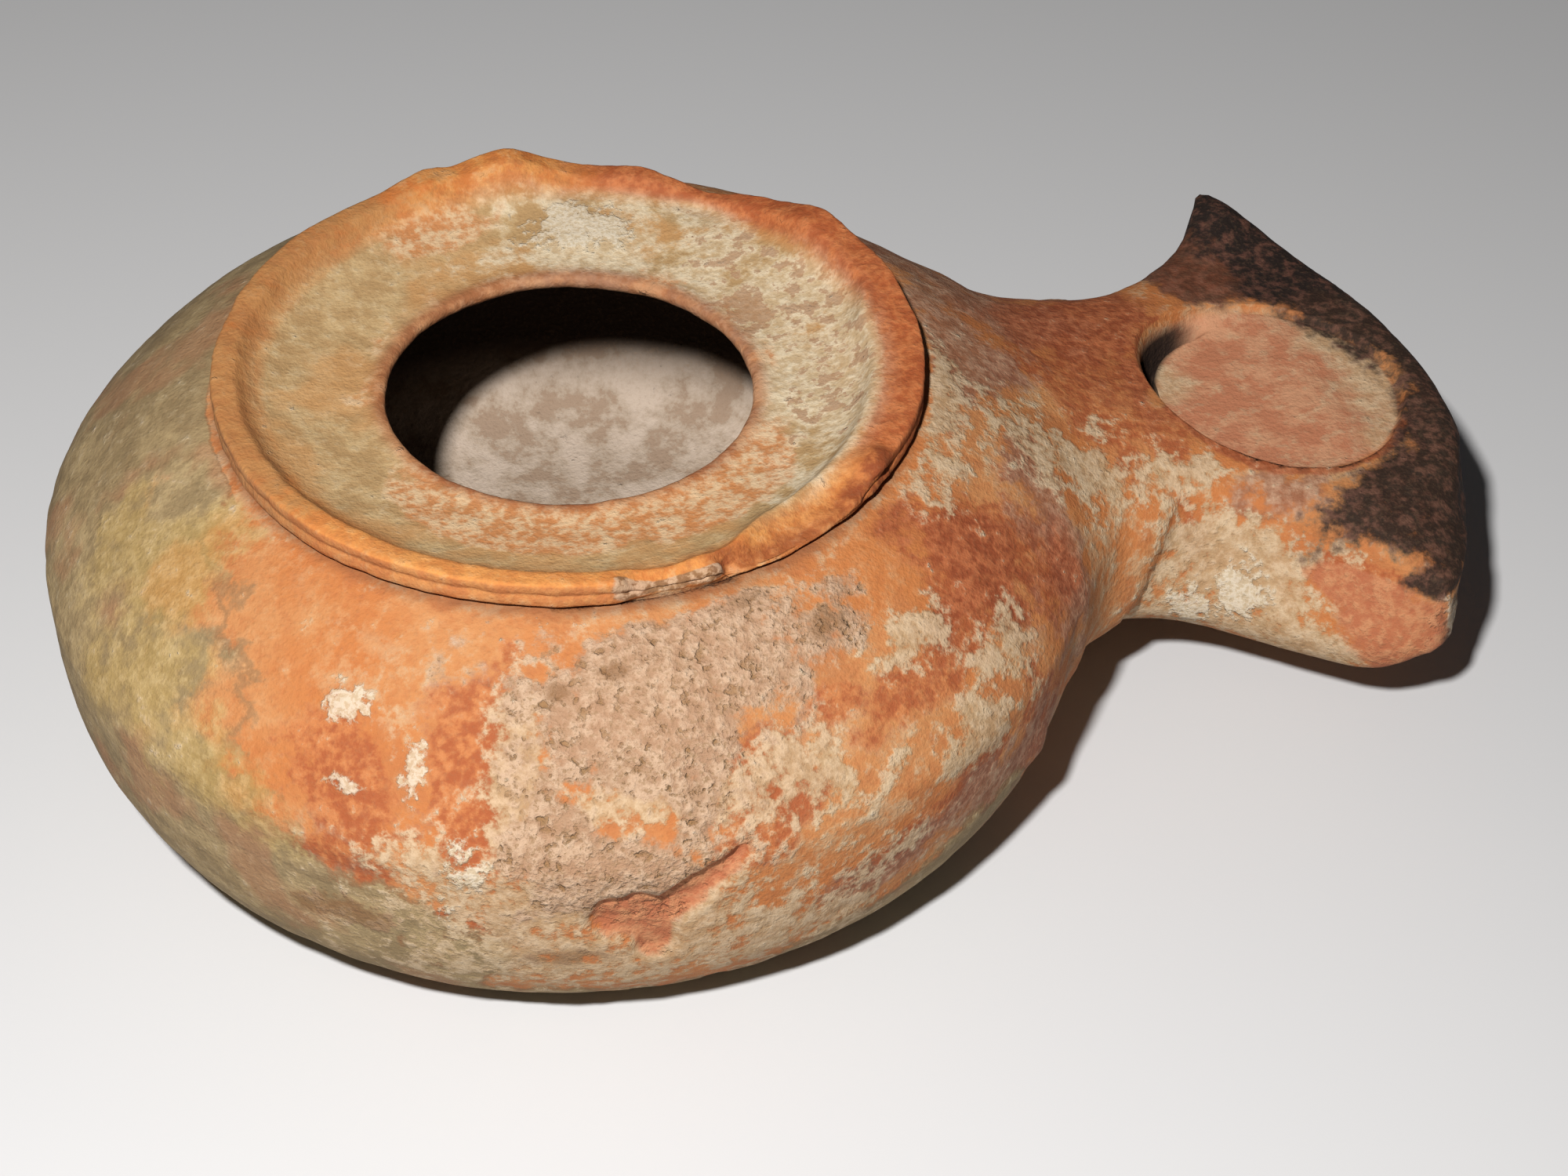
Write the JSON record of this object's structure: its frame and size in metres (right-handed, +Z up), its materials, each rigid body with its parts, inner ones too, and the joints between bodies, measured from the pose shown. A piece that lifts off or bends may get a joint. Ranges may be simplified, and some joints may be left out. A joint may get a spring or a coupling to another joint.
{
  "type": "oil lamp",
  "caption": "Small wheel-thrown clay oil lamp with a round hollow body, a turned collar around the filling hole and a splayed spatula nozzle.",
  "frame": {"origin": "centre of the base, on the surface the lamp stands on, under the axis of the round body", "axes": "+Z up along the axis of the round body, +X from that axis along the nozzle, +Y to the nozzle's left"},
  "size_m": [0.0894, 0.064, 0.0286],
  "materials": {
    "fired_clay": "matt fired clay, worn and patinated"
  },
  "bodies": {
    "root": {"lamp": "fired_clay"}
  },
  "joints": []
}
